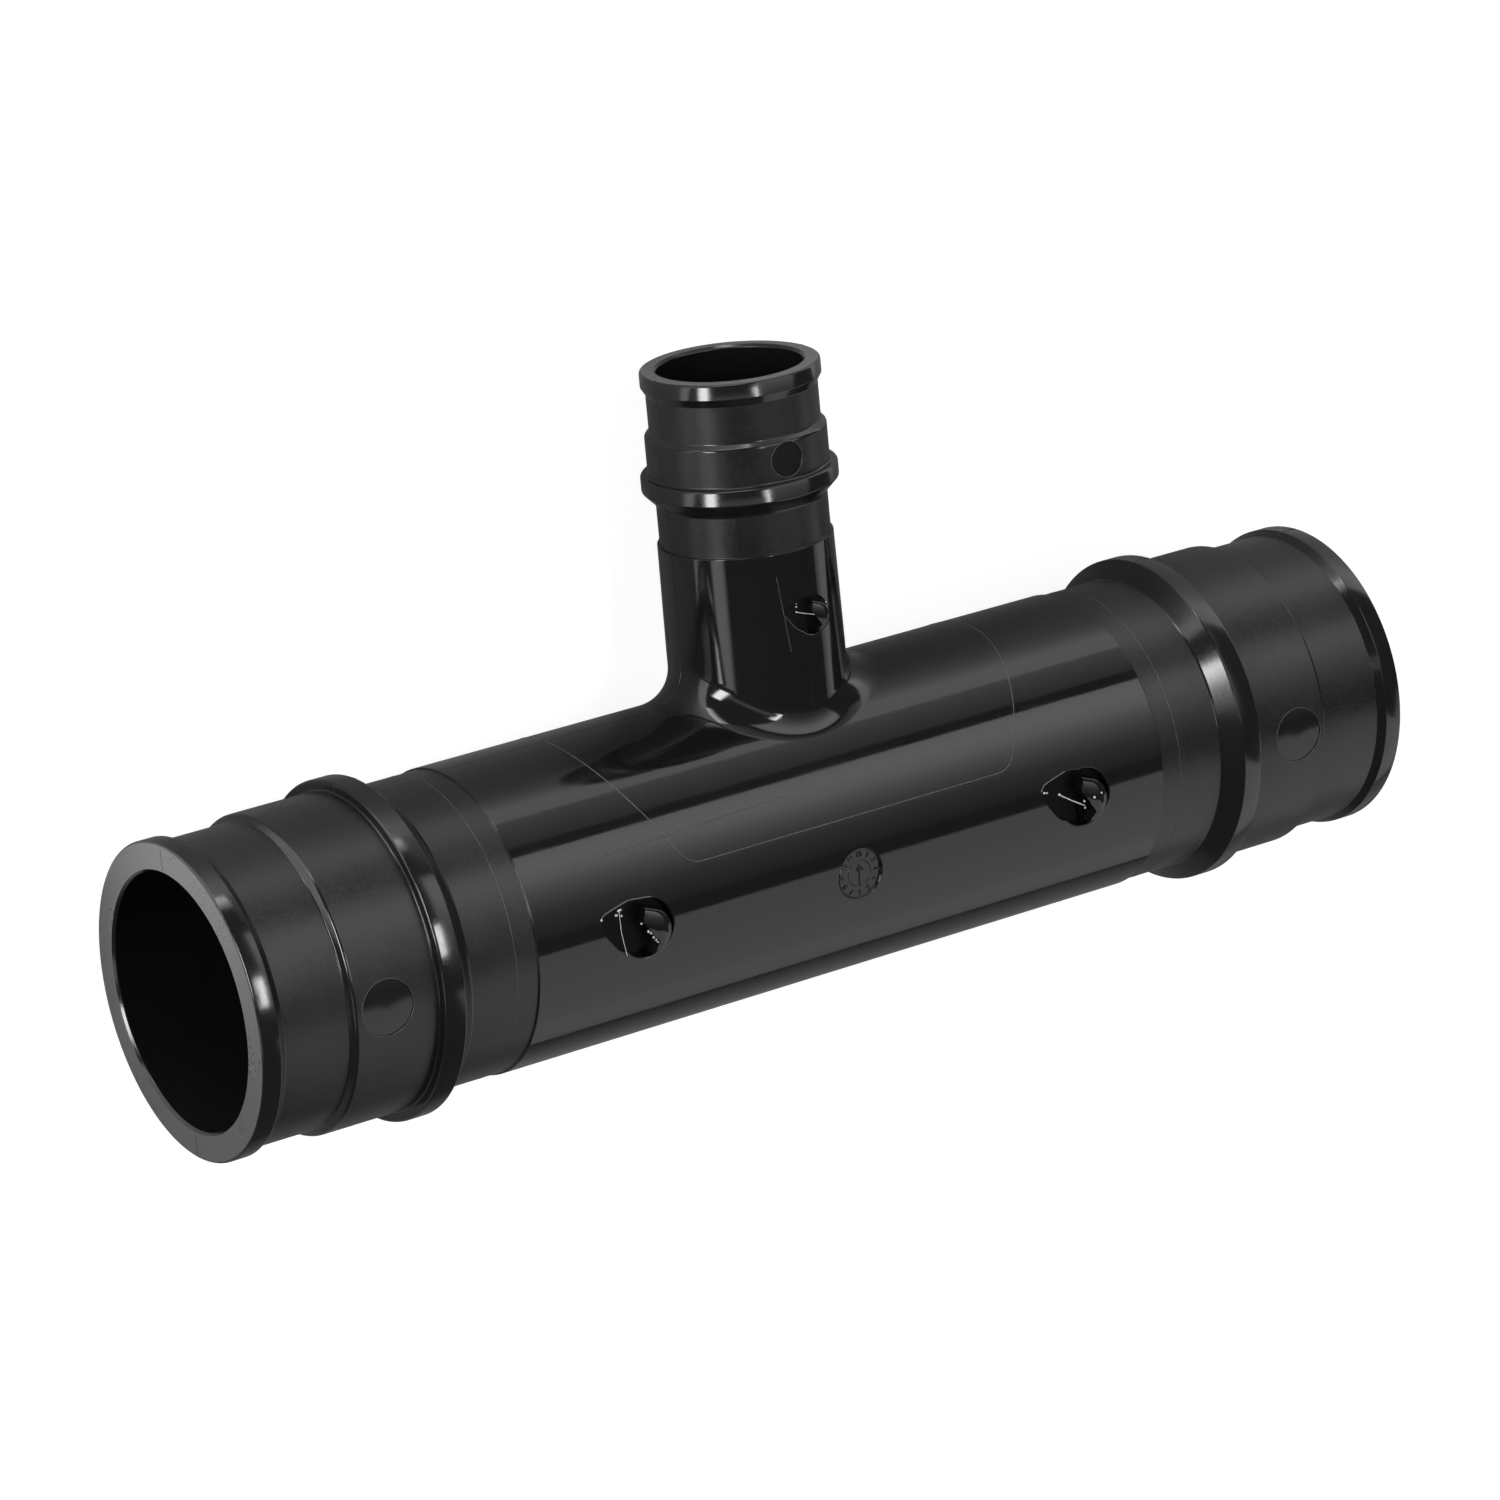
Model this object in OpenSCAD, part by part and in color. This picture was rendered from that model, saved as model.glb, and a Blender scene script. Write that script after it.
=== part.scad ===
// Reducing tee for cold-expansion tubing, moulded in one piece from black plastic.
// The run lies along X and the branch points along +Z while it is drawn. At the end
// the whole fitting is turned on its side, as it lies on a bench: on both stop rings
// of the run and on the lip of the branch. The origin is where the two axes cross.

/* [Run] */
// Overall length of the run, lip to lip
run_length = 211.6; // [190:1:240]
// Bore of the run
run_bore_d = 39.8; // [36:0.2:42]
// Diameter of the glossy body between the spigots
run_body_d = 48; // [46:0.2:52]
// Length of that body
run_body_length = 116.4; // [100:1:122]
// Diameter of the three plain barrels of a run spigot
run_barrel_d = 47.4; // [45:0.2:48]
// Diameter of the raised seat that the tube shrinks on to
run_seat_d = 49.6; // [49.2:0.2:51.5]
// Diameter of the stop ring
run_stop_d = 53; // [52:0.5:58]
// Diameter of the end lip, no larger than the seat
run_lip_d = 49.2; // [48.2:0.2:49.6]
// Distance from the end face to the step up to the seat
run_step_at = 15.1; // [10:0.5:20]
// Distance from the end face to the front of the stop ring
run_stop_at = 29.8; // [26:0.5:33]
// Width of the stop ring's flat band
run_stop_width = 3.6; // [2.5:0.1:5]
// Length of the bevel behind the stop ring
run_stop_bevel = 2.6; // [1:0.1:4]
// Width of the end lip
run_lip_width = 3.1; // [2:0.1:5]

/* [Branch] */
// Distance from the run's axis to the end face of the branch
branch_reach = 74.8; // [68:0.5:90]
// Bore of the branch
branch_bore_d = 22.5; // [19:0.1:23]
// Diameter of the branch body where it leaves the run
branch_root_d = 27.6; // [27.2:0.1:30]
// Diameter of the branch body at its top, less the mould's draft
branch_body_d = 27.2; // [27:0.1:27.6]
// Height of the top of the branch body above the run's axis
branch_body_top = 47.5; // [42:0.5:50]
// Diameter of the plain barrels of the branch spigot
branch_barrel_d = 26.4; // [25.6:0.1:26.8]
// Diameter of the raised seat
branch_seat_d = 28; // [27.9:0.1:29]
// Diameter of the stop ring
branch_stop_d = 30.4; // [29.6:0.1:33]
// Diameter of the end lip, no larger than the seat
branch_lip_d = 27.8; // [27:0.1:27.9]
// Distance from the end face to the step up to the seat
branch_step_at = 9.5; // [7:0.1:12]
// Distance from the end face to the front of the stop ring
branch_stop_at = 16.2; // [14:0.2:17.5]
// Width of the stop ring's flat band
branch_stop_width = 2.5; // [1.5:0.1:3.5]
// Length of the bevel behind the stop ring
branch_stop_bevel = 2.1; // [1:0.1:3]
// Width of the end lip
branch_lip_width = 2.4; // [1.5:0.1:3.5]

/* [Edges] */
// Radius on the front edge of each lip and on the front edge of each stop ring
edge_round = 0.5; // [0.2:0.05:0.8]
// Length of the bevel behind each lip
lip_bevel = 1.2; // [0.6:0.1:2]
// Length of the slope that climbs to each seat
step_bevel = 0.7; // [0.3:0.1:1.5]
// Width of the chamfer round each mouth
mouth_chamfer = 0.4; // [0.2:0.1:0.8]
// Radius of the fillet between the run and the branch
junction_fillet = 6; // [4:0.25:8]

/* [Moulding marks] */
// Distance of each run gate from the branch's axis
gate_offset = 40.8; // [36:0.2:46]
// How far the run gates and the run's ejector marks sit below the run's axis
mark_drop = 0.5; // [0:0.1:2]
// Height of the branch gate above the run's axis
branch_gate_height = 36.8; // [35:0.2:40]
// Sideways shift of the branch gate from the front line
branch_gate_shift = 1.1; // [0:0.1:2]
// Size of the branch gate as a share of a run gate
branch_gate_scale = 0.66; // [0.5:0.02:0.8]
// Diameter of the pin that leaves a gate's round pocket
gate_pin_d = 9.1; // [7:0.1:10]
// Distance from a gate's place to the middle of its pocket
gate_lead = 2; // [0:0.1:3]
// Angle by which each gate points down from the run's direction
gate_turn = 20; // [0:1:40]
// Diameter of the round nose that runs into the pocket
gate_nose_d = 6.1; // [4:0.1:6.5]
// Distance from the pocket's middle to the nose's middle
gate_nose_offset = 5.3; // [3.5:0.1:6]
// Depth of the pocket below the front line of the body
gate_depth = 1.8; // [1:0.1:2.2]
// Depth of the nose, which ends in a step down into the pocket
gate_nose_depth = 1; // [0.4:0.1:1.8]
// Diameter of the rounded stub that the gate leaves behind
gate_stub_d = 6; // [4:0.2:7]
// Distance from the pocket's middle to the stub's broken end
gate_stub_cut = 1; // [0:0.1:2]
// How far the stub stands out of the body
gate_stub_rise = 1.3; // [0.5:0.1:2]
// How far the stub and its root run into the pocket's wall and floor
gate_stub_grip = 0.1; // [0.05:0.01:0.3]
// Distance from the end face to the middle of a run ejector mark
run_ejector_at = 21.2; // [19:0.1:25]
// Diameter of the ejector marks on the run seats
run_ejector_d = 8.8; // [6:0.2:10]
// Diameter of the ejector mark on the branch seat
branch_ejector_d = 5.6; // [4:0.2:6]
// Depth of the ejector marks
ejector_depth = 0.15; // [0.1:0.05:0.3]
// Diameter of the round date mark
date_mark_d = 8; // [6:0.5:10]
// Depth of the date mark's flat floor below the body
date_mark_depth = 0.42; // [0.3:0.02:0.8]
// Angle of the date mark below the front line
date_mark_angle = 5; // [0:1:15]

/* [Hidden] */

// Circles are fine enough to look round in a viewer
$fn = 144;
// Segments in the small edge radii of a turned outline
edge_steps = 4;
// Steps round the branch and across the arc of the fillet
fillet_rounds = 96;
fillet_steps = 8;
// Height at which the fillet's first and last faces turn into the walls they blend
fillet_seam = 0.05;
// How far hidden roots reach into the piece that they grow from
root_sink = 1.2;
// How far a cutter runs past what it cuts
over = 1;
plastic = [0.05, 0.05, 0.055];

run_half = run_length / 2;
run_body_r = run_body_d / 2;
run_body_half = run_body_length / 2;
run_bore_r = run_bore_d / 2;
branch_bore_r = branch_bore_d / 2;
branch_root_r = branch_root_d / 2;
branch_body_r = branch_body_d / 2;
// The branch is straight to the top of its fillet and drafts in above it
draft_from = run_body_r + junction_fillet;
branch_draft = (branch_body_r - branch_root_r) / (branch_body_top - draft_from);
branch_gate_r = branch_root_r + branch_draft * (branch_gate_height - draft_from);

// Lying on its side, the corner of the branch lip touches the bench with the stop rings
lip_corner = [branch_reach - edge_round, branch_lip_d / 2 - edge_round];
rest_tilt = asin((run_stop_d / 2 - edge_round) / norm(lip_corner))
          - atan2(lip_corner[1], lip_corner[0]);

// Points of a rounded outer corner whose tip would be at [radius, height]
function round_corner(radius, height, round) = [
    for (i = [0 : edge_steps])
        let (turn = 90 * i / edge_steps)
        [radius - round + round * cos(turn), height - round + round * sin(turn)]
];

// One turned spigot along +Z, from a hidden root to its end face at height reach
module spigot(reach, root, barrel_d, seat_d, stop_d, lip_d,
              step_at, stop_at, stop_width, stop_bevel, lip_width) {
    barrel_r = barrel_d / 2;
    seat_r = seat_d / 2;
    stop_r = stop_d / 2;
    lip_r = lip_d / 2;
    step_z = reach - step_at;
    stop_front = reach - stop_at;
    stop_back = stop_front - stop_width;
    lip_back = reach - lip_width;
    rotate_extrude()
        polygon(concat(
            [[0, root], [barrel_r, root]],
            [[barrel_r, stop_back - stop_bevel], [stop_r, stop_back]],
            round_corner(stop_r, stop_front, edge_round),
            [[seat_r, stop_front], [seat_r, step_z - step_bevel], [barrel_r, step_z]],
            [[barrel_r, lip_back - lip_bevel], [lip_r, lip_back]],
            round_corner(lip_r, reach, edge_round),
            [[0, reach]]
        ));
}

module run_spigot() {
    spigot(reach = run_half, root = run_body_half - root_sink, barrel_d = run_barrel_d,
           seat_d = run_seat_d, stop_d = run_stop_d, lip_d = run_lip_d,
           step_at = run_step_at, stop_at = run_stop_at, stop_width = run_stop_width,
           stop_bevel = run_stop_bevel, lip_width = run_lip_width);
}

module branch_spigot() {
    spigot(reach = branch_reach, root = branch_body_top - root_sink,
           barrel_d = branch_barrel_d, seat_d = branch_seat_d, stop_d = branch_stop_d,
           lip_d = branch_lip_d, step_at = branch_step_at, stop_at = branch_stop_at,
           stop_width = branch_stop_width, stop_bevel = branch_stop_bevel,
           lip_width = branch_lip_width);
}

module run_body() {
    rotate([0, 90, 0])
        cylinder(h = run_body_length, r = run_body_r, center = true);
}

module branch_body() {
    cylinder(h = draft_from, r = branch_root_r);
    translate([0, 0, draft_from])
        cylinder(h = branch_body_top - draft_from, r1 = branch_root_r, r2 = branch_body_r);
}

// Centre of the ball that rolls round the junction, touching run and branch
function ball_centre(turn) =
    let (hub = branch_root_r + junction_fillet)
    [hub * cos(turn), hub * sin(turn),
     sqrt(pow(run_body_r + junction_fillet, 2) - pow(hub * sin(turn), 2))];

// Height of the run's surface above a point of the plan
function run_height(y) = sqrt(pow(run_body_r, 2) - y * y);

// One section of the fillet: the ball's arc from branch to run, closed inside the walls
function fillet_section(turn) =
    let (centre = ball_centre(turn),
         to_branch = [-cos(turn), -sin(turn), 0],
         to_run = -[0, centre[1], centre[2]] / (run_body_r + junction_fillet),
         sweep = acos(to_branch * to_run),
         trim = acos(1 - fillet_seam / junction_fillet),
         arc = [for (i = [0 : fillet_steps])
             let (a = trim + (sweep - 2 * trim) * i / fillet_steps)
             centre + junction_fillet
                 * (sin(sweep - a) * to_branch + sin(a) * to_run) / sin(sweep)],
         inner_r = branch_root_r - root_sink,
         inner = [inner_r * cos(turn), inner_r * sin(turn)],
         last = arc[fillet_steps])
    concat(arc, [
        last + root_sink * to_run,
        [inner[0], inner[1], run_height(inner[1]) - root_sink],
        [inner[0], inner[1], arc[0][2]]
    ]);

module junction_fillet_ring() {
    sections = [for (i = [0 : fillet_rounds - 1]) fillet_section(i * 360 / fillet_rounds)];
    size = len(sections[0]);
    points = [for (section = sections) each section];
    faces = [for (i = [0 : fillet_rounds - 1], j = [0 : size - 1])
        let (next_i = (i + 1) % fillet_rounds,
             next_j = (j + 1) % size,
             a = i * size + j,
             b = next_i * size + j,
             c = next_i * size + next_j,
             d = i * size + next_j)
        each [[a, b, c], [a, c, d]]];
    polyhedron(points = points, faces = faces);
}

// Everything below stands on the front line, looking along -Y from a given radius.
// A flat outline in [x, z] becomes a column from radius inner to radius outer.
module front_column(inner, outer) {
    translate([0, -inner, 0])
        rotate([90, 0, 0])
            linear_extrude(outer - inner)
                children();
}

// Everything of a gate is drawn round the middle of its pocket, which leads its place
module at_gate(scale) {
    translate([gate_lead * scale, 0, 0])
        rotate([0, gate_turn, 0])
            children();
}

// Pocket that a tunnel gate leaves: a shallow round nose running into a deeper round pin
module gate_pocket(radius, scale) {
    clear = radius + gate_pin_d;
    front_column(radius - gate_depth * scale, clear)
        circle(d = gate_pin_d * scale);
    front_column(radius - gate_nose_depth * scale, clear)
        translate([-gate_nose_offset * scale, 0])
            circle(d = gate_nose_d * scale);
}

// Rounded stub in the pocket's right half, broken off flat towards the nose
module gate_stub(radius, scale) {
    stub_r = gate_stub_d / 2 * scale;
    intersection() {
        translate([gate_stub_cut * scale, stub_r - radius - gate_stub_rise * scale, 0])
            rotate([0, 90, 0])
                cylinder(h = gate_pin_d * scale, r = stub_r);
        front_column(radius - gate_depth * scale - gate_stub_grip, radius + stub_r)
            circle(r = gate_pin_d / 2 * scale + gate_stub_grip);
    }
}

// Thin tube along Z that takes in a seat's surface, to the depth of the ejector marks
module seat_skin(seat_r, span) {
    difference() {
        cylinder(h = span, r = seat_r + over, center = true);
        cylinder(h = span + over, r = seat_r - ejector_depth, center = true);
    }
}

// Ejector marks: round patches pressed a little way into the seats, still curved with them
module run_ejector_marks() {
    seat_r = run_seat_d / 2;
    for (side = [-1, 1])
        intersection() {
            translate([side * (run_half - run_ejector_at), 0, -mark_drop])
                front_column(seat_r / 2, seat_r + over)
                    circle(d = run_ejector_d);
            rotate([0, 90, 0])
                seat_skin(seat_r, run_length);
        }
}

module branch_ejector_mark() {
    seat_r = branch_seat_d / 2;
    middle = branch_reach - (branch_step_at + branch_stop_at) / 2;
    intersection() {
        translate([0, 0, middle])
            front_column(seat_r / 2, seat_r + over)
                circle(d = branch_ejector_d);
        seat_skin(seat_r, 2 * branch_reach);
    }
}

// Date mark: a round insert's flat end, a little below the body
module date_mark() {
    rotate([date_mark_angle, 0, 0])
        front_column(run_body_r - date_mark_depth, run_body_r + over)
            circle(d = date_mark_d);
}

module run_bore() {
    rotate([0, 90, 0])
        cylinder(h = run_length + 2 * over, r = run_bore_r, center = true);
    for (side = [-1, 1])
        translate([side * run_half, 0, 0])
            rotate([0, -side * 90, 0])
                mouth(run_bore_r);
}

module branch_bore() {
    cylinder(h = branch_reach + over, r = branch_bore_r);
    translate([0, 0, branch_reach])
        rotate([180, 0, 0])
            mouth(branch_bore_r);
}

// Chamfer cutter: its wide end lies on the end face and it narrows along +Z
module mouth(bore_r) {
    translate([0, 0, -over])
        cylinder(h = over + mouth_chamfer, r1 = bore_r + mouth_chamfer + over, r2 = bore_r);
}

module run_gate_places() {
    for (side = [-1, 1])
        translate([side * gate_offset, 0, -mark_drop])
            at_gate(1)
                children();
}

module branch_gate_place() {
    translate([branch_gate_shift, 0, branch_gate_height])
        at_gate(branch_gate_scale)
            children();
}

module fitting() {
    difference() {
        union() {
            run_body();
            for (side = [-1, 1])
                rotate([0, side * 90, 0])
                    run_spigot();
            branch_body();
            branch_spigot();
            junction_fillet_ring();
        }
        run_bore();
        branch_bore();
        run_gate_places()
            gate_pocket(run_body_r, 1);
        branch_gate_place()
            gate_pocket(branch_gate_r, branch_gate_scale);
        run_ejector_marks();
        branch_ejector_mark();
        date_mark();
    }
    run_gate_places()
        gate_stub(run_body_r, 1);
    branch_gate_place()
        gate_stub(branch_gate_r, branch_gate_scale);
}

module tee() {
    color(plastic)
        rotate([-(90 + rest_tilt), 0, 0])
            fitting();
}

tee();
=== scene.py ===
"""Looks of a reducing tee, moulded in one piece from black plastic.

Sizes are millimetres in the fitting's own frame: the run lies along X, the branch
points up along Z and the marked side faces -Y. Each finished mesh is turned on to its
side, as the fitting lies on the bench, and scaled to metres.
"""

import math

import bmesh
import bpy
import numpy as np
from mathutils import Matrix, Vector


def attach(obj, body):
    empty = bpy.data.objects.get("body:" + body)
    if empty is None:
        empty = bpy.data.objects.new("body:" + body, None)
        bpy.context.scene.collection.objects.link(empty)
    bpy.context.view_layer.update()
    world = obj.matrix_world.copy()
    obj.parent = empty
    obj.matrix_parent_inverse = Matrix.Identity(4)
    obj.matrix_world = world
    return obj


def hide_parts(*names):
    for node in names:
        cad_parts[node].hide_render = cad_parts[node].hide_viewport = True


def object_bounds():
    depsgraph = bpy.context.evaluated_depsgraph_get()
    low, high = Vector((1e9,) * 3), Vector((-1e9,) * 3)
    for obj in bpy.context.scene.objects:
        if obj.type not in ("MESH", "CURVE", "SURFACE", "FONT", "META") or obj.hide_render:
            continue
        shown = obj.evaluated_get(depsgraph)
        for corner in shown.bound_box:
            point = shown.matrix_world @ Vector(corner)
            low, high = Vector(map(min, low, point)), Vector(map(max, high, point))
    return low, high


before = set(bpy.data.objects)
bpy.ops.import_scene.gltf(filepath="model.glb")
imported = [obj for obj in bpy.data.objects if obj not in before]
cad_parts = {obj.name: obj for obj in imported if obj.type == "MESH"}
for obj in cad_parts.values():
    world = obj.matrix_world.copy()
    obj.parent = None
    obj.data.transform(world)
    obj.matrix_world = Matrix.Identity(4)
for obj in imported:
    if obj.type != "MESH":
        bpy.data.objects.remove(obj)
cad_low, cad_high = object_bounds()
MM = 0.001

# Run: a body between two equal spigots
RUN_HALF = cad_high.x / MM
RUN_BORE = 19.9
RUN_BODY = 24.0
RUN_BODY_HALF = 58.2
RUN_BARREL = 23.7
RUN_SEAT = 24.8
RUN_STOP = 26.5
RUN_LIP = 24.6
RUN_STEP_AT = 15.1
RUN_STOP_AT = 29.8
RUN_STOP_WIDTH = 3.6
RUN_STOP_BEVEL = 2.6
RUN_LIP_WIDTH = 3.1

# Branch, and its distance from the run's axis to its end face
BRANCH_REACH = 74.8
BRANCH_BORE = 11.25
BRANCH_ROOT = 13.8
BRANCH_BODY = 13.6
BRANCH_BODY_TOP = 47.5
BRANCH_BARREL = 13.2
BRANCH_SEAT = 14.0
BRANCH_STOP = 15.2
BRANCH_LIP = 13.9
BRANCH_STEP_AT = 9.5
BRANCH_STOP_AT = 16.2
BRANCH_STOP_WIDTH = 2.5
BRANCH_STOP_BEVEL = 2.1
BRANCH_LIP_WIDTH = 2.4
FILLET = 6.0
DRAFT_FROM = RUN_BODY + FILLET
DRAFT = (BRANCH_BODY - BRANCH_ROOT) / (BRANCH_BODY_TOP - DRAFT_FROM)

# Slopes between two widths of a spigot
LIP_BEVEL = 1.2
STEP_BEVEL = 0.7
BODY_STEP = 0.02

# Small radii that catch the light
EDGE = 0.5
MOUTH = 0.4
SOFT = 0.3
STOP_BACK = 0.45
STOP_FOOT = 0.8
SEAT_EDGE = 0.7
BODY_EDGE = 0.22
BODY_FOOT = 0.12

# Gates, ejector marks and date mark. Each gate is a round pocket with a shallower nose
GATE_AT = 40.8
GATE_DROP = 0.5
GATE_LEAD = 2.0
GATE_PIN = 4.55
GATE_NOSE = 3.9
GATE_NOSE_AT = 5.3
GATE_DEPTH = 1.8
GATE_NOSE_DEPTH = 1.0
GATE_TURN = math.radians(20)
GATE_LIP = 0.32
GATE_TIP = 1.5
GATE_TIP_AT = 6.9
STUB = 3.55
STUB_AT = (0.96, -0.45)
STUB_RISE = 1.0
STUB_SUNK = 0.45
STUB_BOW = 3
BRANCH_GATE_AT = (1.1, 36.8)
BRANCH_GATE_SCALE = 0.66
RUN_EJECTOR_AT = RUN_HALF - 21.2
RUN_EJECTOR = 4.4
BRANCH_EJECTOR_AT = BRANCH_REACH - 12.85
BRANCH_EJECTOR = 2.8
EJECTOR_DEPTH = 0.15
DATE_MARK = 4.0
DATE_DEPTH = 0.42
DATE_ANGLE = math.radians(-5)

# Witness line of the insert round the branch
INSERT_HALF = 27.5
INSERT_LOW = 7.0
INSERT_CORNER = 4.0
INSERT_LEAN = 29.0

# How far it tips when it lies on the stop rings and the branch lip
STOP_CORNER = RUN_STOP - EDGE
LIP_CORNER = (BRANCH_REACH - EDGE, BRANCH_LIP - EDGE)
REST_TILT = math.asin(STOP_CORNER / math.hypot(*LIP_CORNER)) - math.atan2(LIP_CORNER[1], LIP_CORNER[0])
ON_BENCH = Matrix.Rotation(-(math.pi / 2 + REST_TILT), 4, "X")
TO_FRAME = ON_BENCH @ Matrix.Scale(MM, 4)

# The photograph's camera, placed round the fitting as if the branch pointed up
CAMERA_AT = (-507.678, -801.658, 306.778)
CAMERA_TURN = (72.72981, 5.14487, -33.79935)
CAMERA_LENS = 153.852
SENSOR = 36.0

SEGMENTS = 192
NORMAL = "true_normal"


def link_new(name, data):
    """A new object in the scene that holds a mesh, a curve or a camera."""
    thing = bpy.data.objects.new(name, data)
    bpy.context.scene.collection.objects.link(thing)
    return thing


def make_camera():
    data = bpy.data.cameras.new("camera")
    data.lens = CAMERA_LENS
    data.sensor_width = SENSOR
    data.clip_start = 0.01
    data.clip_end = 20
    camera = link_new("camera", data)
    turn = [math.radians(a) for a in CAMERA_TURN]
    upright = Matrix.LocRotScale(Vector(CAMERA_AT) * MM, None, None)
    spin = Matrix.Rotation(turn[2], 4, "Z") @ Matrix.Rotation(turn[1], 4, "Y")
    camera.matrix_world = ON_BENCH @ upright @ spin @ Matrix.Rotation(turn[0], 4, "X")
    bpy.context.scene.camera = camera


# Meshes

def outward(points, faces):
    """Whether the faces of a closed shape point out of it, from the sign of its volume."""
    points = np.asarray(points, float)
    fans = [(face[0], face[i], face[i + 1]) for face in faces for i in range(1, len(face) - 1)]
    a, b, c = (points[column] for column in np.array(fans).T)
    return np.einsum("ij,ij->", a, np.cross(b, c)) > 0


def build_mesh(name, points, faces, normals=None, closed=True):
    """A linked object. normals holds one unit vector for each corner of each face."""
    if closed and not outward(points, faces):
        if normals is not None:
            normals = reverse_corners(faces, normals)
        faces = [tuple(reversed(face)) for face in faces]
    mesh = bpy.data.meshes.new(name)
    mesh.from_pydata([tuple(p) for p in points], [], [tuple(f) for f in faces])
    if normals is not None:
        store_normals(mesh, normals)
    return link_new(name, mesh)


def store_normals(mesh, values):
    """Keeps one unit vector for each corner, through the cuts, until the mesh is finished."""
    layer = mesh.attributes.get(NORMAL) or mesh.attributes.new(NORMAL, "FLOAT_VECTOR", "CORNER")
    layer.data.foreach_set("vector", np.asarray(values, np.float32).ravel())


def stored_normals(mesh):
    layer = mesh.attributes[NORMAL]
    values = np.zeros(len(layer.data) * 3, np.float32)
    layer.data.foreach_get("vector", values)
    return values.reshape(-1, 3)


def corner_normals(faces, of_point):
    return [of_point[i] for face in faces for i in face]


def quads_round(columns, size, closed=False):
    """Faces between neighbouring columns of points, all the way round. The columns hold size
    points each, and are rings themselves where closed is true."""
    faces = []
    for i in range(columns):
        k = (i + 1) % columns
        for j in range(size if closed else size - 1):
            m = (j + 1) % size
            faces.append((i * size + j, k * size + j, k * size + m, i * size + m))
    return faces


def rounded(outline, radii, steps=5):
    """Points and left-hand normals of an open outline whose corners are rounded."""
    outline = [np.array(p, float) for p in outline]
    found = []

    def side(a, b):
        d = (b - a) / np.linalg.norm(b - a)
        return np.array([-d[1], d[0]])

    found.append((outline[0], side(outline[0], outline[1])))
    for before, corner, after, radius in zip(outline, outline[1:], outline[2:], radii):
        n_in = side(before, corner)
        n_out = side(corner, after)
        turn = math.acos(max(-1, min(1, float(n_in @ n_out))))
        reach = radius * math.tan(turn / 2)
        reach = min(reach, 0.48 * np.linalg.norm(corner - before), 0.48 * np.linalg.norm(after - corner))
        radius = reach / math.tan(turn / 2)
        start = corner - reach * (corner - before) / np.linalg.norm(corner - before)
        bend = 1 if n_in[0] * n_out[1] - n_in[1] * n_out[0] > 0 else -1
        centre = start + bend * radius * n_in
        for i in range(steps + 1):
            a = bend * turn * i / steps
            c, s = math.cos(a), math.sin(a)
            n = np.array([c * n_in[0] - s * n_in[1], s * n_in[0] + c * n_in[1]])
            found.append((centre - bend * radius * n, n))
    found.append((outline[-1], side(outline[-2], outline[-1])))
    return [(p[0], p[1], n[0], n[1]) for p, n in found]


def turned(name, profile, axis, flip=False):
    """A solid of revolution about X or Z. The profile runs from pole to pole along the axis.
    A cutter is flipped: its corner normals are those of the hole that it leaves."""
    segments = SEGMENTS
    sign = -1 if flip else 1
    points, of_point, faces = [], [], []

    def put(along, a, radius):
        c, s = math.cos(a) * radius, math.sin(a) * radius
        return (along, -c, s) if axis == "X" else (s, -c, along)

    rows = [p for p in profile if p[1] > 0]
    for along, radius, n_along, n_radius in rows:
        for i in range(segments):
            a = 2 * math.pi * i / segments
            points.append(put(along, a, radius))
            of_point.append(tuple(sign * v for v in put(n_along, a, n_radius)))
    for j in range(len(rows) - 1):
        for i in range(segments):
            k = (i + 1) % segments
            faces.append((j * segments + i, j * segments + k, (j + 1) * segments + k, (j + 1) * segments + i))
    normals = corner_normals(faces, of_point)
    for row, end in ((0, -1), (len(rows) - 1, 1)):
        ring = [row * segments + i for i in range(segments)]
        ring = ring[::-1] if end < 0 else ring
        faces.append(ring)
        normals += [put(end * sign, 0, 0)] * segments
    return build_mesh(name, points, faces, normals)


def reverse_corners(faces, normals):
    """Corner normals put in the order of faces that have each been reversed."""
    out, at = [], 0
    for face in faces:
        out += normals[at:at + len(face)][::-1]
        at += len(face)
    return out


def spigot_outline(reach, barrel, seat, stop, lip, step_at, stop_at, stop_width, stop_bevel, lip_width):
    """Outline of one spigot from its root to its end face, and the radius of each corner."""
    front, step, back = reach - stop_at, reach - step_at, reach - lip_width
    return [
        (front - stop_width - stop_bevel, barrel, STOP_FOOT),
        (front - stop_width, stop, STOP_BACK),
        (front, stop, EDGE),
        (front, seat, SOFT),
        (step - STEP_BEVEL, seat, SEAT_EDGE),
        (step, barrel, SOFT),
        (back - LIP_BEVEL, barrel, SOFT),
        (back, lip, SOFT),
        (reach, lip, EDGE),
    ]


def band_places(reach, stop, lip, stop_at, stop_width, lip_width):
    """Start, end and radius of the band round the stop ring and of the one round the lip."""
    front = reach - stop_at
    return [(front - stop_width, front, stop), (reach - lip_width, reach - EDGE, lip)]


def crowned(profile, bands, lean, crown=4):
    """Leans the normals of the narrow bands towards the spigot's end: their slight crown."""
    early, late = 0.6, 0.01
    level, upright = 0.01, 0.999
    out = []
    for along, radius, n_along, n_radius in profile:
        for low, high, band in bands:
            within = low - early < abs(along) < high + late
            if within and abs(radius - band) < level and n_radius > upright:
                share = (abs(along) - low) / (high - low)
                angle = math.radians(lean + crown * (2 * share - 1))
                n_along, n_radius = math.copysign(math.sin(angle), along), math.cos(angle)
        out.append((along, radius, n_along, n_radius))
    return out


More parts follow.
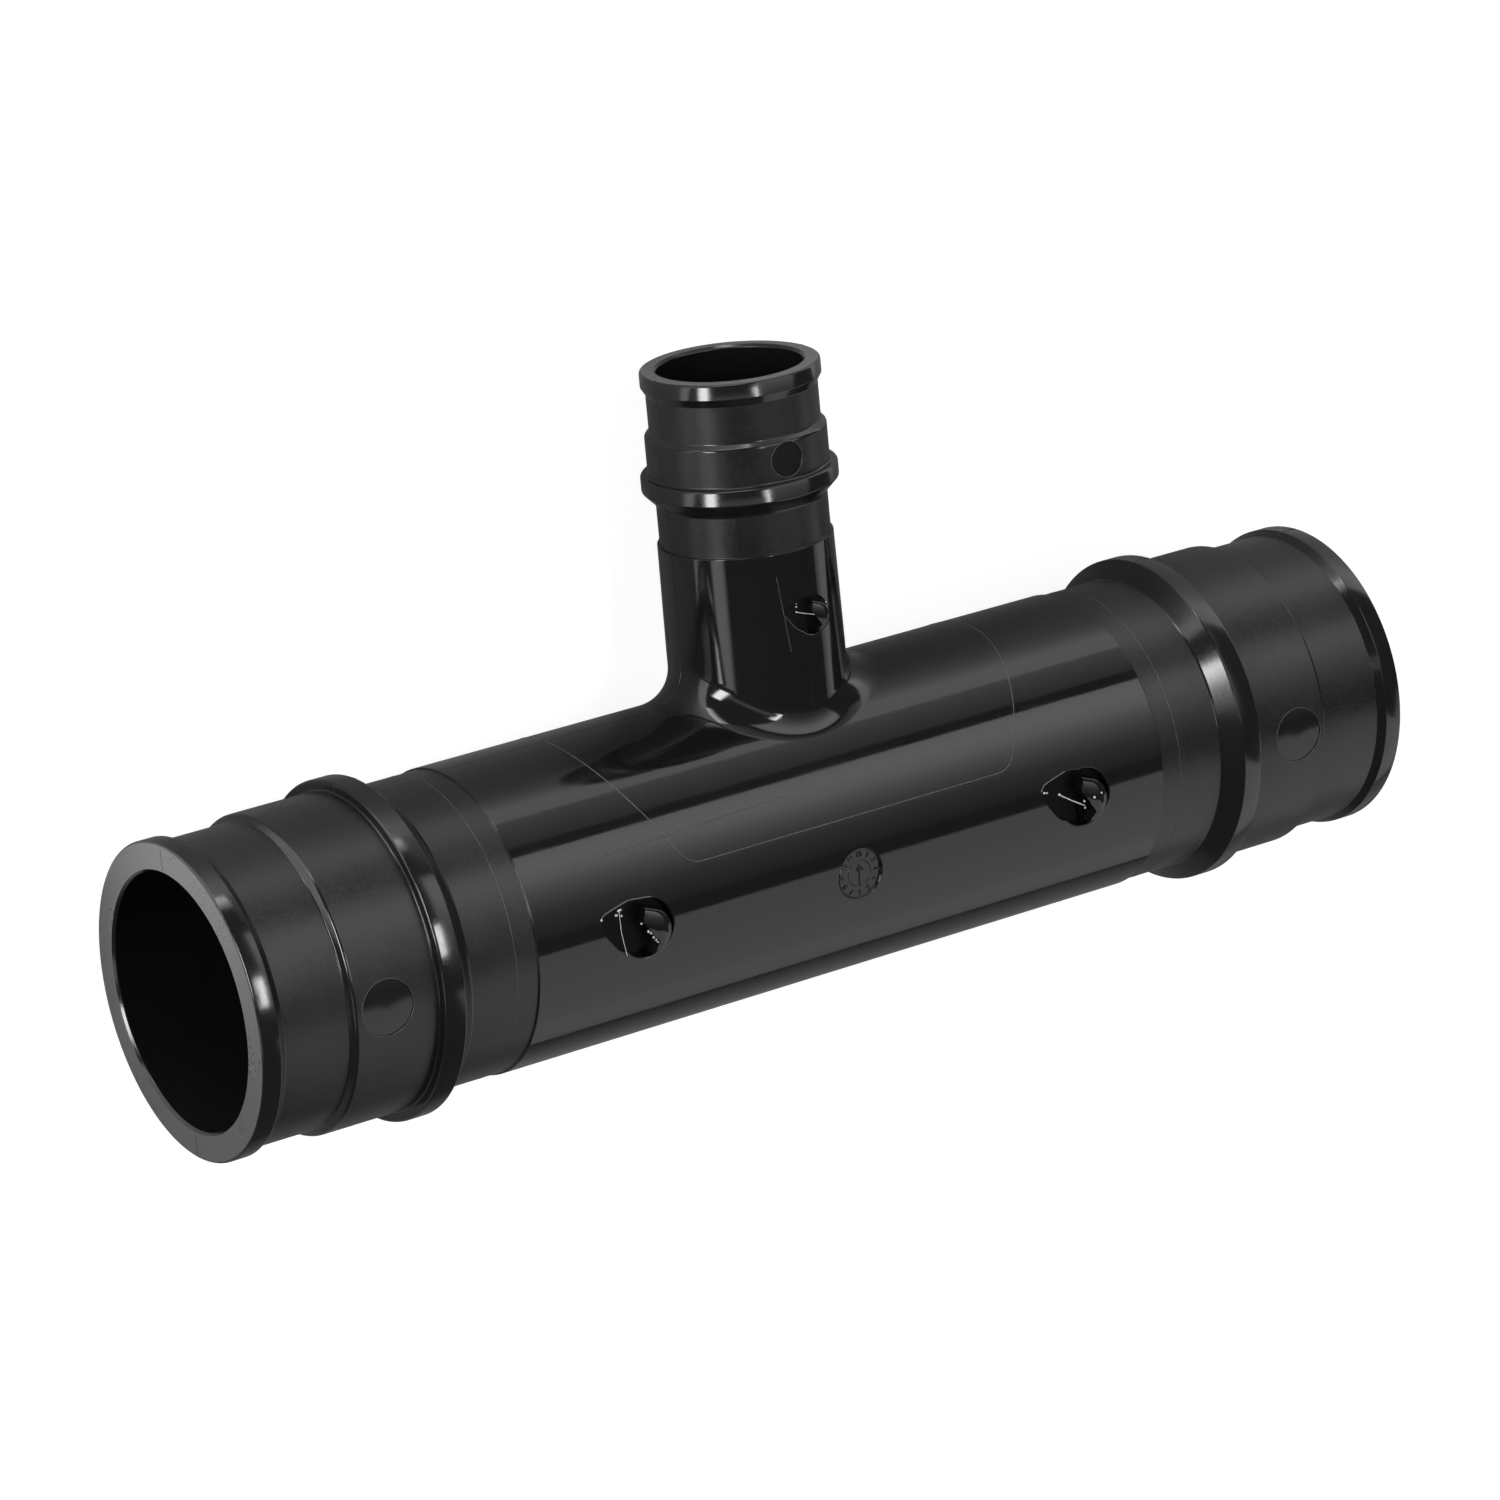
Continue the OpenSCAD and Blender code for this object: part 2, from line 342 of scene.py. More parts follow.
def run_profile():
    right = spigot_outline(RUN_HALF, RUN_BARREL, RUN_SEAT, RUN_STOP, RUN_LIP,
                           RUN_STEP_AT, RUN_STOP_AT, RUN_STOP_WIDTH, RUN_STOP_BEVEL, RUN_LIP_WIDTH)
    right = [(RUN_BODY_HALF - BODY_STEP, RUN_BODY, BODY_EDGE),
             (RUN_BODY_HALF + BODY_STEP, RUN_BARREL, BODY_FOOT)] + right
    left = [(-x, r, c) for x, r, c in reversed(right)]
    places = left + right
    outline = [(-RUN_HALF, RUN_BORE - 2)] + [(x, r) for x, r, c in places] + [(RUN_HALF, RUN_BORE - 2)]
    profile = rounded(outline, [c for x, r, c in places])
    bands = band_places(RUN_HALF, RUN_STOP, RUN_LIP, RUN_STOP_AT, RUN_STOP_WIDTH, RUN_LIP_WIDTH)
    return crowned(profile, bands, lean=10)


def run_solid():
    profile = run_profile()
    rows = 38
    reach = 0.97 * RUN_BODY_HALF
    middle = len(profile) // 2
    between = [(reach * (2 * i / rows - 1), RUN_BODY, 0, 1) for i in range(rows + 1)]
    return turned("run", profile[:middle] + between + profile[middle:], "X")


def branch_profile():
    top = spigot_outline(BRANCH_REACH, BRANCH_BARREL, BRANCH_SEAT, BRANCH_STOP, BRANCH_LIP, BRANCH_STEP_AT,
                         BRANCH_STOP_AT, BRANCH_STOP_WIDTH, BRANCH_STOP_BEVEL, BRANCH_LIP_WIDTH)
    places = [(DRAFT_FROM, BRANCH_ROOT, EDGE), (BRANCH_BODY_TOP - BODY_STEP, BRANCH_BODY, BODY_FOOT),
              (BRANCH_BODY_TOP + BODY_STEP, BRANCH_BARREL, BODY_FOOT)] + top
    outline = [(RUN_BORE / 2, BRANCH_ROOT)] + [(z, r) for z, r, c in places]
    outline.append((BRANCH_REACH, BRANCH_BORE - 2))
    bands = band_places(BRANCH_REACH, BRANCH_STOP, BRANCH_LIP, BRANCH_STOP_AT, BRANCH_STOP_WIDTH,
                        BRANCH_LIP_WIDTH)
    return crowned(rounded(outline, [c for z, r, c in places]), bands, lean=14)


def branch_solid():
    return turned("branch", branch_profile(), "Z")


def bore_cutters():
    over = 1.0
    outline = [(-RUN_HALF - over, RUN_BORE + MOUTH + over), (-RUN_HALF + MOUTH, RUN_BORE),
               (RUN_HALF - MOUTH, RUN_BORE), (RUN_HALF + over, RUN_BORE + MOUTH + over)]
    run = turned("run_bore", rounded(outline, [SOFT, SOFT]), "X", flip=True)
    outline = [(0, BRANCH_BORE), (BRANCH_REACH - MOUTH, BRANCH_BORE),
               (BRANCH_REACH + over, BRANCH_BORE + MOUTH + over)]
    branch = turned("branch_bore", rounded(outline, [SOFT]), "Z", flip=True)
    return [run, branch]


def fillet_solid(rounds=SEGMENTS, steps=16):
    """The junction: a ball rolls round the branch and touches both it and the run."""
    root = 1.2
    hub, lift = BRANCH_ROOT + FILLET, RUN_BODY + FILLET
    points, of_point = [], []
    for i in range(rounds):
        a = 2 * math.pi * i / rounds
        across = hub * math.sin(a)
        centre = np.array([hub * math.cos(a), across, math.sqrt(lift**2 - across**2)])
        to_branch = np.array([-math.cos(a), -math.sin(a), 0])
        to_run = -np.array([0, centre[1], centre[2]]) / lift
        sweep = math.acos(float(to_branch @ to_run))
        for j in range(steps + 1):
            b = sweep * j / steps
            d = (math.sin(sweep - b) * to_branch + math.sin(b) * to_run) / math.sin(sweep)
            points.append(centre + FILLET * d)
            of_point.append(-d)
        first, last = points[-steps - 1], points[-1]
        inner = (BRANCH_ROOT - root) / BRANCH_ROOT
        low = math.sqrt(RUN_BODY**2 - (first[1] * inner)**2) - root
        points.append(last + root * to_run)
        points.append(np.array([first[0] * inner, first[1] * inner, low]))
        points.append(np.array([first[0] * inner, first[1] * inner, first[2]]))
        of_point += [to_run, to_run, to_run]
    faces = quads_round(rounds, steps + 4, closed=True)
    return build_mesh("junction_fillet", points, faces, corner_normals(faces, of_point))


# Marks on the front

def drafted(z):
    """Radius of the branch body, which narrows a little as it rises."""
    return BRANCH_ROOT + DRAFT * max(0, z - DRAFT_FROM)


def cylinder_front(x, z, radius, around):
    """Y of the front of a cylinder about X or Z, at a place seen along Y."""
    return -math.sqrt(radius**2 - (z if around == "X" else x) ** 2)


def run_front(x, z):
    """Front of the run body at a place seen along Y, and its outward normal."""
    y = cylinder_front(x, z, RUN_BODY, "X")
    return y, np.array([0, y, z]) / RUN_BODY


def branch_front(x, z):
    radius = drafted(z)
    y = cylinder_front(x, z, radius, "Z")
    return y, np.array([x, y, -DRAFT * radius]) / radius


def hull_outline(circles, a):
    """Point of the outline round some circles where it faces direction a, and that direction."""
    ray = np.array([math.cos(a), math.sin(a)])
    x, z, radius = max(circles, key=lambda c: c[0] * ray[0] + c[1] * ray[1] + c[2])
    return np.array([x, z]) + radius * ray, ray


def pocket_cutter(name, circles, floor, front, lip, sides=72):
    """Cuts a pocket with a flat floor. Its rim follows the curved front and is rounded.
    circles holds the (x, z, radius) of the circles that the outline goes round."""
    steps = 4
    foot = 0.22
    clear = 3.0
    columns = []
    for side in range(sides):
        place, ray = hull_outline(circles, 2 * math.pi * side / sides)
        wall = np.array([-ray[0], 0, -ray[1]])
        column = []

        def at(extra, depth):
            x, z = place + extra * ray
            y, n = front(x, z)
            return np.array([x, y + depth, z]), n

        column.append(at(lip, -clear))
        for i in range(steps + 1):
            b = math.pi / 2 * i / steps
            point, n = at(lip * (1 - math.sin(b)), lip * (1 - math.cos(b)))
            blend = n * math.cos(b) + wall * math.sin(b)
            column.append((point, blend / np.linalg.norm(blend)))
        for i in range(steps + 1):
            b = math.pi / 2 * i / steps
            inset = foot * (1 - math.cos(b))
            x, z = place - inset * ray
            point = np.array([x, floor - foot * (1 - math.sin(b)), z])
            column.append((point, wall * math.cos(b) + np.array([0, -math.sin(b), 0])))
        columns.append(column)
    size = len(columns[0])
    points = [p for column in columns for p, n in column]
    of_point = [n for column in columns for p, n in column]
    faces = quads_round(sides, size)
    faces.append([i * size for i in range(sides)][::-1])
    faces.append([i * size + size - 1 for i in range(sides)])
    return build_mesh(name, points, faces, corner_normals(faces, of_point))


def gate(name, place, scale, front, reach):
    """Cutters of one gate and the broken stub that stands in its pocket."""
    lip = GATE_LIP * scale
    circle, root, tip = gate_circles(place, scale)
    pin = pocket_cutter(name + "_pin", [circle], -(reach - GATE_DEPTH * scale), front, lip)
    nose = pocket_cutter(name + "_nose", [tip, root], -(reach - GATE_NOSE_DEPTH * scale), front, lip)
    return [pin, nose], gate_stub(name + "_stub", place, scale, reach)


def gate_circles(place, scale):
    """X, Z and radius of the circles that a gate's outline goes round: pin, nose root and tip."""
    return [
        (*gate_place(place, scale, 0, 0), GATE_PIN * scale),
        (*gate_place(place, scale, -GATE_NOSE_AT / 2, 0), GATE_NOSE * scale),
        (*gate_place(place, scale, -GATE_TIP_AT, 0), GATE_TIP * scale),
    ]


def gate_place(place, scale, along, across):
    """X and Z of a point given along and across a gate, from the middle of its pocket."""
    c, s = math.cos(GATE_TURN) * scale, math.sin(GATE_TURN) * scale
    return place[0] + GATE_LEAD * scale + c * along + s * across, place[1] - s * along + c * across


def torn_edge(z):
    """Where the stub is torn off, across its width, as a share of its radius."""
    across = (-1, -0.77, -0.4, 0, 0.31, 0.6, 1)
    along = (0.25, 0.29, 0.34, -0.16, -0.62, -0.7, -0.6)
    return float(np.interp(z, across, along)) + 0.03 * math.sin(11 * z) + 0.02 * math.sin(29 * z + 1)


def gate_stub(name, place, scale, reach):
    """A round finger that fills the right of the pocket, with a torn left end, nipped a little."""
    across, along = 28, 18
    rise = (STUB_RISE + STUB_SUNK) * scale
    level = reach - STUB_SUNK * scale
    points, faces = [], []
    for i in range(across + 1):
        z = math.sin(math.pi * (i / across - 0.5))
        half = math.sqrt(max(1 - z * z, 0))
        start = min(torn_edge(z), half)
        for j in range(along + 1):
            t = math.sin(math.pi / 2 * j / along)
            x = start + (half - start) * t
            bow = (x / half) if half > 0 else 1
            end = math.sqrt(max(1 - max(bow, 0) ** STUB_BOW, 0)) if half > 0 else 0
            nipped = 1 - 0.12 * max(0, 1 - 3 * j / along)
            height = level + rise * half * end * nipped
            flat_x, flat_z = gate_place(place, scale, STUB_AT[0] + STUB * x, STUB_AT[1] + STUB * z)
            points.append((flat_x, -height, flat_z))
    size = along + 1
    for i in range(across):
        for j in range(along):
            faces.append((i * size + j, i * size + j + 1, (i + 1) * size + j + 1, (i + 1) * size + j))
    base = len(points)
    rooted = 0.3
    deep = -(reach - GATE_DEPTH * scale) + rooted
    points += [(x, deep, z) for x, y, z in points]
    top = list(faces)
    faces += [tuple(base + i for i in reversed(face)) for face in top]
    rim = list(range(size))
    rim += [i * size + along for i in range(1, across + 1)]
    rim += [across * size + j for j in reversed(range(along))]
    rim += [i * size for i in reversed(range(1, across))]
    for a, b in zip(rim, rim[1:] + rim[:1]):
        faces.append((b, a, base + a, base + b))
    thing = build_mesh(name, points, faces)
    work = bmesh.new()
    work.from_mesh(thing.data)
    bmesh.ops.remove_doubles(work, verts=work.verts, dist=0.004 * scale)
    bmesh.ops.dissolve_degenerate(work, edges=work.edges, dist=0.002)
    bmesh.ops.recalc_face_normals(work, faces=work.faces)
    work.to_mesh(thing.data)
    work.free()
    keep_smooth_normals(thing.data)
    return thing


def keep_smooth_normals(mesh, sharp=0.75):
    """Stores at each corner the mean of the faces round it that turn little from its own."""
    normals = [np.array(face.normal) for face in mesh.polygons]
    around = [[] for vertex in mesh.vertices]
    for face in mesh.polygons:
        for i in face.vertices:
            around[i].append(face.index)
    values = []
    for face in mesh.polygons:
        own = normals[face.index]
        for i in face.vertices:
            mean = sum(normals[k] * mesh.polygons[k].area for k in around[i] if normals[k] @ own > sharp)
            length = np.linalg.norm(mean)
            values.append(mean / length if length > 0 else own)
    store_normals(mesh, values)


def disc_cutter(name, centre, radius, floor_radius, around, sides=64):
    """Presses a round patch into a seat. The patch stays curved with the seat."""
    clear = 1.0
    points, of_point = [], []
    rings = [(radius, -clear), (radius, 0), (radius * 0.97, 0), (radius * 0.5, 0)]
    for side in range(sides):
        a = 2 * math.pi * side / sides
        for out, depth in rings:
            x, z = centre[0] + out * math.cos(a), centre[1] + out * math.sin(a)
            y = cylinder_front(x, z, floor_radius, around)
            points.append((x, y + depth, z))
            off_axis = (0, y, z) if around == "X" else (x, y, 0)
            of_point.append(tuple(v / floor_radius for v in off_axis))
    points.append((centre[0], -floor_radius, centre[1]))
    of_point.append((0, -1, 0))
    size, hub = len(rings), len(points) - 1
    faces = quads_round(sides, size)
    for i in range(sides):
        faces.append((i * size + size - 1, ((i + 1) % sides) * size + size - 1, hub))
    faces.append([i * size for i in range(sides)][::-1])
    return build_mesh(name, points, faces, corner_normals(faces, of_point))


def date_cutter():
    floor = -(RUN_BODY - DATE_DEPTH)
    thing = pocket_cutter("date_mark_cut", [(0, 0, DATE_MARK)], floor, run_front, lip=0.1)
    turn_piece(thing, Matrix.Rotation(-DATE_ANGLE, 4, "X"))
    return thing


def turn_piece(thing, matrix):
    """Turns the mesh and its stored normals."""
    thing.data.transform(matrix)
    spin = np.array(matrix.to_3x3())
    store_normals(thing.data, stored_normals(thing.data) @ spin.T)


def combine(base, others, operation):
    """Booleans, one after the other. The operands are removed."""
    for other in others:
        step = base.modifiers.new("join", "BOOLEAN")
        step.operation = operation
        step.solver = "EXACT"
        step.object = other
        apply_modifiers(base)
        bpy.data.objects.remove(other)


def apply_modifiers(thing):
    shape = evaluated_mesh(thing)
    old = thing.data
    thing.modifiers.clear()
    thing.data = shape
    bpy.data.meshes.remove(old)


def evaluated_mesh(thing):
    """A new plain mesh of what an object shows."""
    return bpy.data.meshes.new_from_object(thing.evaluated_get(bpy.context.evaluated_depsgraph_get()))


def wall_normal(x, y, z):
    """Outward normal where a point is on the body of the run or the branch, or on a seat near
    an ejector mark, or else None."""
    near = 0.02
    clear = 0.3
    radius, round_branch = math.hypot(y, z), math.hypot(x, y)
    on_body = abs(x) < RUN_BODY_HALF - clear and abs(radius - RUN_BODY) < near
    on_seat = abs(abs(x) - RUN_EJECTOR_AT) < RUN_EJECTOR + 1.6 and abs(radius - RUN_SEAT) < near
    if on_body or on_seat:
        return np.array([0, y, z]) / radius
    if z > RUN_BODY and round_branch < RUN_BODY:
        on_body = z < BRANCH_BODY_TOP - clear and abs(round_branch - drafted(z)) < near
        by_mark = abs(z - BRANCH_EJECTOR_AT) < BRANCH_EJECTOR + 0.1
        on_seat = by_mark and abs(round_branch - BRANCH_SEAT) < near
        if on_body or on_seat:
            return np.array([x, y, 0]) / round_branch
    return None


def true_normals(mesh):
    """The stored corner normals, worked out afresh where a cut has left new corners."""
    same_wall, turned_away = 0.9, 0.1
    values = stored_normals(mesh)
    for face in mesh.polygons:
        n = np.array(face.normal)
        for corner in face.loop_indices:
            wall = wall_normal(*mesh.vertices[mesh.loops[corner].vertex_index].co)
            if wall is not None and wall @ n > same_wall:
                values[corner] = wall
            elif values[corner] @ n < turned_away:
                values[corner] = n
    return values


def close_slits(mesh):
    """Fills the narrow gaps that a union leaves where two walls just touch."""
    work = bmesh.new()
    work.from_mesh(mesh)
    rims = [edge for edge in work.edges if edge.is_boundary]
    for face in bmesh.ops.holes_fill(work, edges=rims, sides=8)["faces"]:
        beyond = [(loop, loop.link_loop_radial_next) for loop in face.loops]
        if any(other is not loop and other.vert is loop.vert for loop, other in beyond):
            face.normal_flip()
    work.to_mesh(mesh)
    work.free()


def finish_mesh(thing):
    """Turns the mesh on to its side, in metres, and sets its stored normals as its own."""
    mesh = thing.data
    close_slits(mesh)
    values = true_normals(mesh)
    mesh.transform(TO_FRAME)
    values = values @ np.array(ON_BENCH.to_3x3()).T
    length = np.linalg.norm(values, axis=1, keepdims=True)
    values = values / np.maximum(length, 1e-6)
    mesh.polygons.foreach_set("use_smooth", [True] * len(mesh.polygons))
    mesh.attributes.remove(mesh.attributes[NORMAL])
    mesh.normals_split_custom_set([tuple(v) for v in values])
    mesh.update()


def gates():
    """Name, place, size, front and reach of each gate."""
    return [
        ("left_gate", (-GATE_AT, -GATE_DROP), 1, run_front, RUN_BODY),
        ("right_gate", (GATE_AT, -GATE_DROP), 1, run_front, RUN_BODY),
        ("branch_gate", BRANCH_GATE_AT, BRANCH_GATE_SCALE, branch_front, drafted(BRANCH_GATE_AT[1])),
    ]


def make_tee():
    tee = run_solid()
    combine(tee, [branch_solid(), fillet_solid()], "UNION")
    cuts = bore_cutters()
    stubs = []
    for each in gates():
        found, stub = gate(*each)
        cuts += found
        stubs.append(stub)
    for side in (-1, 1):
        place = (side * RUN_EJECTOR_AT, -GATE_DROP)
        cuts.append(disc_cutter("run_ejector", place, RUN_EJECTOR, RUN_SEAT - EJECTOR_DEPTH, "X"))
    place = (0, BRANCH_EJECTOR_AT)
    cuts.append(disc_cutter("branch_ejector", place, BRANCH_EJECTOR, BRANCH_SEAT - EJECTOR_DEPTH, "Z"))
    cuts.append(date_cutter())
    combine(tee, cuts, "DIFFERENCE")
    combine(tee, stubs, "UNION")
    tee.name = "tee_shell"
    tee.data.name = "tee_shell"
    return tee


# Raised lines and small marks

def bead_tree():
    """Geometry Nodes that lay a round bead along every edge path of a mesh."""
    tree = bpy.data.node_groups.new("bead_along_path", "GeometryNodeTree")
    face = tree.interface
    face.new_socket("Path", in_out="INPUT", socket_type="NodeSocketGeometry")
    face.new_socket("Bead Radius", in_out="INPUT", socket_type="NodeSocketFloat")
    face.new_socket("Sides", in_out="INPUT", socket_type="NodeSocketInt")
    face.new_socket("Finish", in_out="INPUT", socket_type="NodeSocketMaterial")
    face.new_socket("Bead", in_out="OUTPUT", socket_type="NodeSocketGeometry")
    made = {}
    for key, kind in (("in", "NodeGroupInput"), ("curve", "GeometryNodeMeshToCurve"),
                      ("ring", "GeometryNodeCurvePrimitiveCircle"), ("sweep", "GeometryNodeCurveToMesh"),
                      ("smooth", "GeometryNodeSetShadeSmooth"), ("real", "GeometryNodeRealizeInstances"),
                      ("paint", "GeometryNodeSetMaterial"), ("out", "NodeGroupOutput")):
        made[key] = tree.nodes.new(kind)
    made["sweep"].inputs["Fill Caps"].default_value = True
    wires = [("in", "Path", "curve", "Mesh"), ("curve", "Curve", "sweep", "Curve"),
             ("in", "Bead Radius", "ring", "Radius"), ("in", "Sides", "ring", "Resolution"),
             ("ring", "Curve", "sweep", "Profile Curve"), ("sweep", "Mesh", "smooth", "Geometry"),
             ("smooth", "Geometry", "real", "Geometry"), ("real", "Geometry", "paint", "Geometry"),
             ("in", "Finish", "paint", "Material"), ("paint", "Geometry", "out", "Bead")]
    for source, output, target, entry in wires:
        tree.links.new(made[source].outputs[output], made[target].inputs[entry])
    return tree


BEADS = bead_tree()


def beads(name, paths, radius, material):
    """A piece made of beads. Each path is a list of points, closed where its ends meet."""
    sides = 6
    points, edges = [], []
    for path in paths:
        base = len(points)
        path = [tuple(p) for p in path]
        loop = path[0] == path[-1]
        path = path[:-1] if loop else path
        points += path
        edges += [(base + i, base + i + 1) for i in range(len(path) - 1)]
        if loop:
            edges.append((base + len(path) - 1, base))
    mesh = bpy.data.meshes.new(name)
    mesh.from_pydata(points, edges, [])
    thing = link_new(name, mesh)
    sweep = thing.modifiers.new("beads", "NODES")
    sweep.node_group = BEADS
    values = {"Bead Radius": radius, "Sides": sides, "Finish": material}
    for item in BEADS.interface.items_tree:
        if item.name in values and item.in_out == "INPUT":
            sweep[item.identifier] = values[item.name]
    apply_modifiers(thing)
    return thing


def on_run(x, z, sunk=0.0, back=1):
    """A point on the run's body, seen along Y at X and Z. back is 1 in front and -1 behind."""
    y = math.sqrt(max((RUN_BODY - sunk) ** 2 - z * z, 0))
    return (x, -back * y, z)


def arc(centre, radius, start, end, steps):
    for i in range(steps + 1):
        a = math.radians(start + (end - start) * i / steps)
        yield centre[0] + radius * math.cos(a), centre[1] + radius * math.sin(a)


def circle(centre, radius, steps):
    """Points round a circle. The last one is the first again."""
    ring = list(arc(centre, radius, 0, 360, steps))
    return ring[:-1] + ring[:1]


def insert_line(sunk):
    """Witness line of the mould insert round the branch: a low edge and two leaning sides."""
    lean = INSERT_LEAN
    low_steps, corner_steps, steps = 12, 8, 40
    flat = [(INSERT_HALF * i / low_steps, INSERT_LOW) for i in range(low_steps)]
    flat += arc((INSERT_HALF, INSERT_LOW + INSERT_CORNER), INSERT_CORNER, -90, -lean, corner_steps)
    x, z = flat[-1]
    top = RUN_BODY - sunk
    slope = math.tan(math.radians(lean))
    for i in range(1, steps + 1):
        height = z + (top - z) * math.sin(math.pi / 2 * i / steps)
        flat.append((x + (height - z) * slope, height))
    return [[on_run(side * px, pz, sunk, back) for px, pz in flat] for back in (1, -1) for side in (-1, 1)]


def tool_paths():
    """Faint lines that the mould's tooling left: one along the run, one up the branch and one
    round each neck."""
    start, length, low, climb, steps = -49, 39, 28, 3, 20
    along = []
    for i in range(steps + 1):
        a = math.radians(low + climb * i / steps)
        along.append((start + length * i / steps, -RUN_BODY * math.cos(a), RUN_BODY * math.sin(a)))
    left, foot, lean, rise, steps = -2.3, 32, 1.2, 12, 12
    upright = [on_front(branch_front, left - lean * i / steps, foot + rise * i / steps)
               for i in range(steps + 1)]
    neck, beyond = RUN_BARREL - 0.02, 3.6
    rings = [[(side * (RUN_BODY_HALF + beyond), neck * y, neck * z) for y, z in circle((0, 0), 1, 96)]
             for side in (-1, 1)]
    return [along, upright] + rings


def ring_on_cylinder(centre, radius, body, around, steps=72):
    """A circle seen along Y, laid on the front of a cylinder about X or Z."""
    return [(x, cylinder_front(x, z, body, around), z) for x, z in circle(centre, radius, steps)]


def raised_number(number, size):
    """A plain number as a mesh, standing up from the XY plane."""
    curve = bpy.data.curves.new("number", "FONT")
    curve.body = str(number)
    curve.size = size
    curve.align_x = "CENTER"
    curve.align_y = "CENTER"
    curve.extrude = 0.15
    curve.bevel_depth = 0.03
    curve.resolution_u = 3
    sign = link_new("number", curve)
    mesh = evaluated_mesh(sign)
    bpy.data.objects.remove(sign)
    return mesh


def join_meshes(name, meshes, material):
    """One object out of several meshes."""
    joined = bmesh.new()
    for mesh in meshes:
        joined.from_mesh(mesh)
    out = bpy.data.meshes.new(name)
    joined.to_mesh(out)
    joined.free()
    out.materials.clear()
    out.materials.append(material)
    out.polygons.foreach_set("material_index", [0] * len(out.polygons))
    return link_new(name, out)


def date_dial(material):
    """Rim, twelve plain numbers and an arrow, on the floor of the date mark."""
    floor = -(RUN_BODY - DATE_DEPTH)
    count, number_size, number_ring, inner_ring = 12, 1.2, DATE_MARK * 0.78, DATE_MARK * 0.52
    tilt = Matrix.Rotation(-DATE_ANGLE, 4, "X")
    meshes = []
    for i in range(1, count + 1):
        mesh = raised_number(i, number_size)
        clock = Matrix.Rotation(2 * math.pi * i / count, 4, "Y")
        place = Matrix.Translation((0, floor, 0)) @ clock @ Matrix.Translation((0, 0, number_ring))
        mesh.transform(tilt @ place @ Matrix.Rotation(math.pi / 2, 4, "X"))
        meshes.append(mesh)
    shaft = [(0, floor, -1.9), (0, floor, 1.2)]
    head = [(-0.55, floor, 0.5), (0, floor, 1.5), (0.55, floor, 0.5)]
    inner = [(x, floor, z) for x, z in circle((0, 0), inner_ring, 48)]
    rim = ring_on_cylinder((0, 0), DATE_MARK, RUN_BODY + 0.02, "X")
    parts = [("arrow", [shaft, head], 0.2), ("ring", [inner], 0.08), ("rim", [rim], 0.14)]
    lines = []
    for name, paths, radius in parts:
        bead = beads(name, paths, radius, material)
        bead.data.transform(tilt)
        meshes.append(bead.data)
        lines.append(bead)
    dial = join_meshes("date_mark_dial", meshes, material)
    for bead in lines:
        bpy.data.objects.remove(bead)
    return dial


def parting_paths():
    """The mould's parting line: round the fitting in the plane of both axes."""
    sunk, inside, steps = 0.04, 0.7, 12
    off_end, run_wall, branch_wall = 0.05, 1, 0.6
    run = [(x, r - sunk) for x, r, nx, nr in run_profile()
           if abs(x) < RUN_HALF - off_end and r > RUN_BORE + run_wall]
    keep_clear = BRANCH_ROOT + FILLET
    branch = [(z, r - sunk) for z, r, nz, nr in branch_profile()
              if z >= DRAFT_FROM and r > BRANCH_BORE + branch_wall]
    paths = [[(x, 0, -r) for x, r in run]]
    for side in (-1, 1):
        top = [(x, 0, r) for x, r in run if side * x > keep_clear]
        top = sorted(top, key=lambda p: -side * p[0])
        angles = [math.pi / 2 * (1 - i / steps) for i in range(steps + 1)]
        corner = [(side * (keep_clear - FILLET * math.cos(a) - sunk), 0,
                   DRAFT_FROM - FILLET * math.sin(a) - sunk) for a in angles]
        up = [(side * r, 0, z) for z, r in branch]
        paths.append(top + corner + up)
        face = side * (RUN_HALF - sunk)
        for end in (1, -1):
            paths.append([(face, 0, end * (RUN_BORE + inside)), (face, 0, end * (RUN_LIP - inside))])
    return paths


def tear(name, centre, scale, spots, reach, seed):
    """Small torn lumps. Each spot is x, z and height from the middle of the gate's pocket."""
    lumps = []
    random = np.random.default_rng(seed)
    for x, z, height in spots:
        lump = bmesh.new()
        bmesh.ops.create_icosphere(lump, subdivisions=2, radius=0.2 * scale * random.uniform(0.7, 1.2))
        for v in lump.verts:
            v.co *= random.uniform(0.85, 1.15)
        mesh = bpy.data.meshes.new(name)
        lump.to_mesh(mesh)
        lump.free()
        mesh.polygons.foreach_set("use_smooth", [True] * len(mesh.polygons))
        mesh.transform(Matrix.Translation(in_pocket(centre, scale, reach, x, z, height)))
        lumps.append(mesh)
    return lumps


def in_pocket(centre, scale, reach, x, z, height):
    """A point given from the middle of a gate's pocket, and its height above the pocket's level."""
    return centre[0] + x * scale, -(reach + height * scale), centre[1] + z * scale


def on_front(front, x, z):
    """A point on the front of a body, seen along Y."""
    return x, front(x, z)[0], z


# Materials

class Wire:
    """A shader socket that can be used in arithmetic."""

    def __init__(self, tree, socket):
        self.tree = tree
        self.socket = socket

    def math(self, operation, *values):
        return self.tree.add("ShaderNodeMath", {"operation": operation}, [self, *values])["Value"]

    def __add__(self, other):
        return self.math("ADD", other)

    def __sub__(self, other):
        return self.math("SUBTRACT", other)

    def __rsub__(self, other):
        return self.tree.add("ShaderNodeMath", {"operation": "SUBTRACT"}, [other, self])["Value"]

    def __mul__(self, other):
        return self.math("MULTIPLY", other)

    __radd__ = __add__
    __rmul__ = __mul__

    def ramp(self, low, high):
        """0 below low and 1 above high, with a smooth climb between them."""
        made = self.tree.add("ShaderNodeMapRange", {"interpolation_type": "SMOOTHSTEP"},
                             {"Value": self, "From Min": low, "From Max": high})
        return made["Result"]


